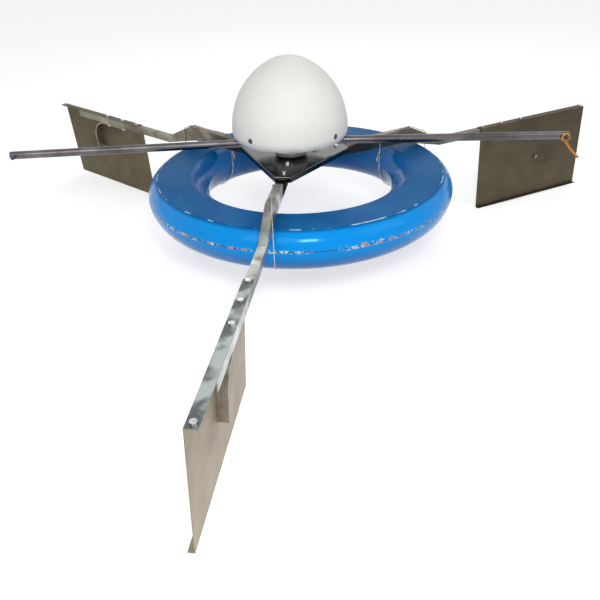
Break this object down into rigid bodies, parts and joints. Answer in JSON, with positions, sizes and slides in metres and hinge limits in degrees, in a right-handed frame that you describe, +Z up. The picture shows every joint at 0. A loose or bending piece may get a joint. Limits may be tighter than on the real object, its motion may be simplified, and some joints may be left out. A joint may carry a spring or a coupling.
{
  "type": "water ploughing aerator",
  "caption": "Pond aerator: a bladed rotor on a ring float, turned slowly by a geared motor under a dome that two side tubes hold.",
  "frame": {"origin": "on the rotor axis, at the flat underside of the hub", "axes": "+Z up along the rotor axis; X along the two mooring tubes; the front blade points towards -Y"},
  "size_m": [2.1576, 2.0404, 0.6384],
  "materials": {
    "stainless": "satin",
    "polished_stainless": "polished",
    "blade_stainless": "satin with handling smears",
    "shaft_steel": "ground",
    "bright_fastener": "bright",
    "blue_float": "moulded, scuffed",
    "foam": "closed-cell foam",
    "cast_housing": "painted grey",
    "bearing_steel": "ground",
    "seal_rubber": "matt",
    "ivory_dome": "gloss",
    "motor_paint": "semi-gloss",
    "fan_plastic": "matt",
    "gland_plastic": "matt",
    "tube_steel": "satin",
    "wire_steel": "dull",
    "rope": "laid polyethylene"
  },
  "bodies": {
    "rotor": {"hub": "stainless", "hub_pan": "polished_stainless", "right_arm": "stainless", "left_arm": "stainless", "front_arm": "stainless", "right_blade": "blade_stainless", "left_blade": "blade_stainless", "front_blade": "blade_stainless", "right_brace": "stainless", "left_brace": "stainless", "front_brace": "stainless", "pan_bolts": "bright_fastener", "blade_bolts": "bright_fastener", "brace_bolts": "bright_fastener", "float_shell": "blue_float", "float_foam": "foam", "right_tie_wire": "wire_steel", "left_tie_wire": "wire_steel", "front_tie_wire": "wire_steel", "output_shaft": "shaft_steel"},
    "stator": {"gearbox_housing": "cast_housing", "bearing_cover": "cast_housing", "shaft_bearings": "bearing_steel", "shaft_seal": "seal_rubber", "deck_plate": "stainless", "housing_bolts": "bright_fastener", "dome_cover": "ivory_dome", "dome_screws": "bright_fastener", "gear_reducer": "cast_housing", "motor": "motor_paint", "motor_fan_cover": "fan_plastic", "terminal_box": "motor_paint", "cable_gland": "gland_plastic", "left_mooring_tube": "tube_steel", "right_mooring_tube": "tube_steel", "tube_lock_bolts": "bright_fastener", "mooring_bolts": "bright_fastener", "rope_eye": "rope", "rope_tail": "rope"}
  },
  "joints": [
    {"name": "rotor_spin", "type": "hinge", "parent": "stator", "child": "rotor", "pos_m": [0, 0, 0], "axis": [0, 0, 1], "continuous": true}
  ]
}
